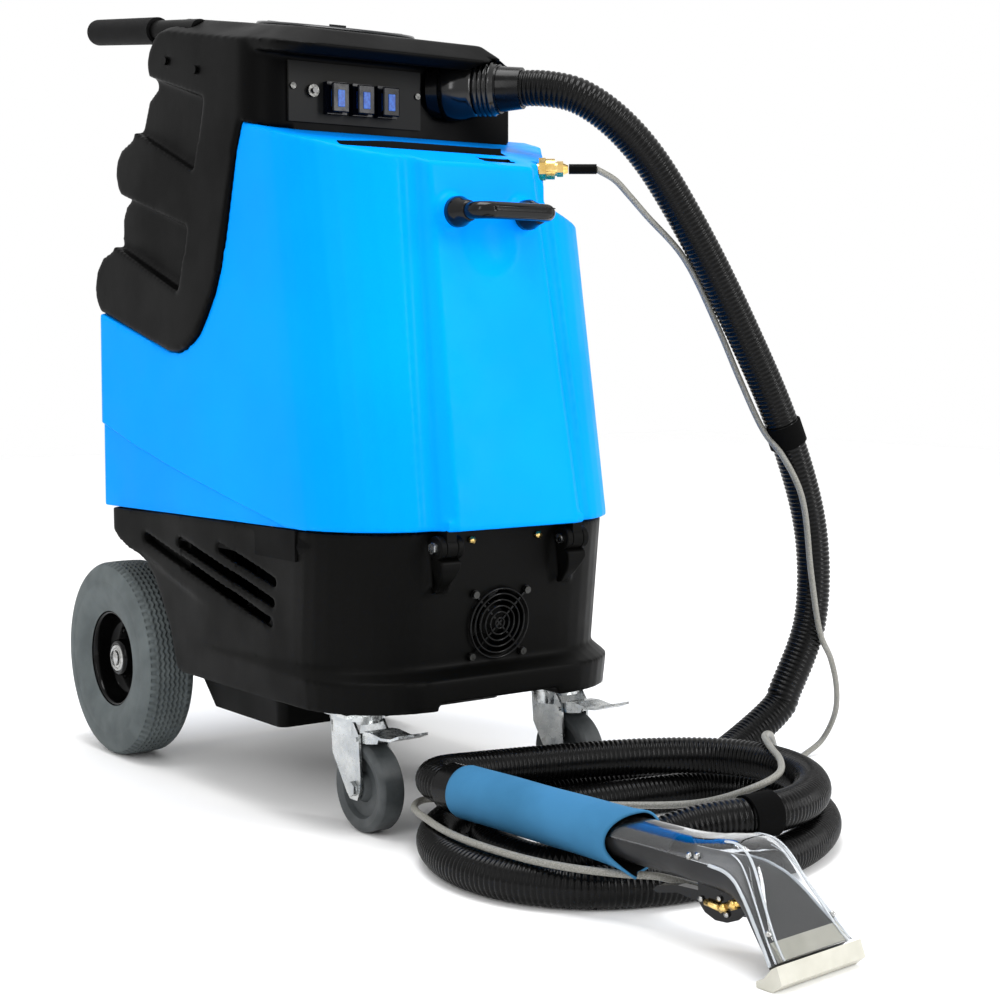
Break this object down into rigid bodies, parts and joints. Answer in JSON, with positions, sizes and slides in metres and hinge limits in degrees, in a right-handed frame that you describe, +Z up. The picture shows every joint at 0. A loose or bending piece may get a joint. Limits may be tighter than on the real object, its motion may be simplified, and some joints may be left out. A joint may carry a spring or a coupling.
{
  "type": "carpet cleaner machine",
  "caption": "Wheeled hot-water carpet extractor with tilting blue solution tank, black recovery tank, switches, coiled vacuum hose and upholstery wand.",
  "frame": {"origin": "on the floor, on the machine's centre plane, midway between the rear axle and the caster swivel axes", "axes": "+Z up, front of the machine (fan, controls and wand) toward -Y, +X to the right seen from the front"},
  "size_m": [0.7697, 1.2979, 0.9603],
  "materials": {
    "base_plastic": "textured black rotational moulding",
    "zinc_steel": "bright zinc plating",
    "fan_plastic": "black",
    "black_wire": "black coated wire",
    "brass_screws": "yellow zinc",
    "caster_rubber": "grey",
    "grey_tyre": "grey non-marking",
    "black_paint": "gloss black",
    "bearing_steel": "polished",
    "motor_metal": "cast",
    "brass": "machined",
    "heater_steel": "folded sheet",
    "blue_plastic": "bright blue rotational moulding",
    "tank_plastic": "black rotational moulding",
    "panel_plastic": "dark grey",
    "screw_steel": "bright",
    "guard_plastic": "black with a clear splash skin",
    "rocker_blue": "translucent blue",
    "button_plastic": "black",
    "seal_rubber": "black",
    "lid_smoke": "dark smoke, glossy",
    "cuff_plastic": "black",
    "handle_gloss": "black dipped vinyl",
    "black_tube": "black",
    "foam": "black foam",
    "black_screws": "black oxide",
    "sleeve_rubber": "black",
    "hose_plastic": "black corrugated",
    "strap_fabric": "black woven",
    "braid": "grey braid",
    "wand_dark": "dark grey",
    "wrap_fabric": "blue foam-backed cloth",
    "clear_plastic": "clear",
    "lip_plastic": "off-white",
    "trigger_plastic": "black"
  },
  "bodies": {
    "base": {"base_housing": "base_plastic", "under_pan": "base_plastic", "rear_axle": "zinc_steel", "axle_nuts": "zinc_steel", "hinge_bolts": "zinc_steel", "fan_frame": "fan_plastic", "fan_guard": "black_wire", "fan_screws": "brass_screws", "caster_plates": "zinc_steel", "vacuum_motors": "motor_metal", "pump": "brass", "wand_valve": "brass", "heater": "heater_steel", "wand_hose_cuff": "cuff_plastic", "vacuum_hose_coil": "hose_plastic", "coil_strap": "strap_fabric", "solution_hose_floor": "braid", "wand_tube": "wand_dark", "wand_body": "wand_dark", "wand_grip": "wrap_fabric", "wand_cover": "clear_plastic", "wand_lip": "lip_plastic"},
    "tanks": {"solution_tank": "blue_plastic", "recovery_tank": "tank_plastic", "control_panel": "panel_plastic", "panel_screws": "screw_steel", "switch_guards": "guard_plastic", "breaker_collar": "screw_steel", "lid_gasket": "seal_rubber", "hose_port": "cuff_plastic", "front_handle": "handle_gloss", "push_handle": "black_tube", "foam_grips": "foam", "handle_bolts": "black_screws", "quick_connect": "brass", "hose_sleeve": "sleeve_rubber", "vacuum_hose_drop": "hose_plastic", "solution_hose_drop": "braid", "drop_strap": "strap_fabric"},
    "fan": {"fan_rotor": "fan_plastic"},
    "left_wheel": {"tyre_left": "grey_tyre", "rim_left": "black_paint", "hub_bearings_left": "bearing_steel"},
    "right_wheel": {"tyre_right": "grey_tyre", "rim_right": "black_paint", "hub_bearings_right": "bearing_steel"},
    "left_fork": {"caster_fork_left": "zinc_steel"},
    "right_fork": {"caster_fork_right": "zinc_steel"},
    "left_caster_wheel": {"caster_wheel_left": "caster_rubber"},
    "right_caster_wheel": {"caster_wheel_right": "caster_rubber"},
    "left_brake": {"brake_pedal_left": "zinc_steel"},
    "right_brake": {"brake_pedal_right": "zinc_steel"},
    "lid_body": {"lid": "lid_smoke"},
    "switch_1": {"rocker_1": "rocker_blue"},
    "switch_2": {"rocker_2": "rocker_blue"},
    "switch_3": {"rocker_3": "rocker_blue"},
    "breaker": {"breaker_button": "button_plastic"},
    "cuff": {"hose_cuff": "cuff_plastic"},
    "collar": {"connect_collar": "brass"},
    "trigger": {"wand_trigger": "trigger_plastic"}
  },
  "joints": [
    {"name": "tank_tilt", "type": "hinge", "parent": "base", "child": "tanks", "pos_m": [0, -0.346, 0.32], "axis": [1, 0, 0], "range_deg": [0, 60], "deforming": ["vacuum_hose_drop", "solution_hose_drop", "drop_strap"]},
    {"name": "fan_spin", "type": "hinge", "parent": "base", "child": "fan", "pos_m": [0, -0.322, 0.227], "axis": [0, -0.9936, -0.1132], "continuous": true},
    {"name": "left_wheel_spin", "type": "hinge", "parent": "base", "child": "left_wheel", "pos_m": [-0.1805, 0.25, 0.127], "axis": [1, 0, 0], "continuous": true},
    {"name": "right_wheel_spin", "type": "hinge", "parent": "base", "child": "right_wheel", "pos_m": [0.1805, 0.25, 0.127], "axis": [1, 0, 0], "continuous": true},
    {"name": "left_swivel", "type": "hinge", "parent": "base", "child": "left_fork", "pos_m": [-0.142, -0.25, 0.12], "axis": [0, 0, 1], "continuous": true},
    {"name": "left_caster_spin", "type": "hinge", "parent": "left_fork", "child": "left_caster_wheel", "pos_m": [-0.142, -0.275, 0.0508], "axis": [1, 0, 0], "continuous": true},
    {"name": "left_brake_press", "type": "hinge", "parent": "left_fork", "child": "left_brake", "pos_m": [-0.142, -0.28, 0.1065], "axis": [1, 0, 0], "range_deg": [0, 10]},
    {"name": "right_swivel", "type": "hinge", "parent": "base", "child": "right_fork", "pos_m": [0.142, -0.25, 0.12], "axis": [0, 0, 1], "continuous": true},
    {"name": "right_caster_spin", "type": "hinge", "parent": "right_fork", "child": "right_caster_wheel", "pos_m": [0.142, -0.275, 0.0508], "axis": [1, 0, 0], "continuous": true},
    {"name": "right_brake_press", "type": "hinge", "parent": "right_fork", "child": "right_brake", "pos_m": [0.142, -0.28, 0.1065], "axis": [1, 0, 0], "range_deg": [0, 10]},
    {"name": "lid_lift", "type": "slide", "parent": "tanks", "child": "lid_body", "axis": [0, -0.1599, 0.9871], "range_m": [0, 0.12]},
    {"name": "rocker_1_press", "type": "hinge", "parent": "tanks", "child": "switch_1", "pos_m": [-0.108, -0.157, 0.817], "axis": [1, 0, 0], "range_deg": [0, 14]},
    {"name": "rocker_2_press", "type": "hinge", "parent": "tanks", "child": "switch_2", "pos_m": [-0.074, -0.157, 0.817], "axis": [1, 0, 0], "range_deg": [0, 14]},
    {"name": "rocker_3_press", "type": "hinge", "parent": "tanks", "child": "switch_3", "pos_m": [-0.04, -0.157, 0.817], "axis": [1, 0, 0], "range_deg": [0, 14]},
    {"name": "breaker_pop", "type": "slide", "parent": "tanks", "child": "breaker", "axis": [0, -1, 0], "range_m": [0, 0.003]},
    {"name": "cuff_swivel", "type": "hinge", "parent": "tanks", "child": "cuff", "pos_m": [0.05, -0.15, 0.838], "axis": [0.6018, -0.7986, 0], "continuous": true},
    {"name": "collar_slide", "type": "slide", "parent": "tanks", "child": "collar", "axis": [0.8028, -0.5962, 0], "range_m": [0, 0.0024], "stiffness_N_per_m": 600},
    {"name": "trigger_pull", "type": "hinge", "parent": "base", "child": "trigger", "pos_m": [-0.10307, -0.7869, 0.045], "axis": [0.9969, 0.0785, 0], "range_deg": [0, 6], "stiffness_Nm_per_rad": 2}
  ]
}
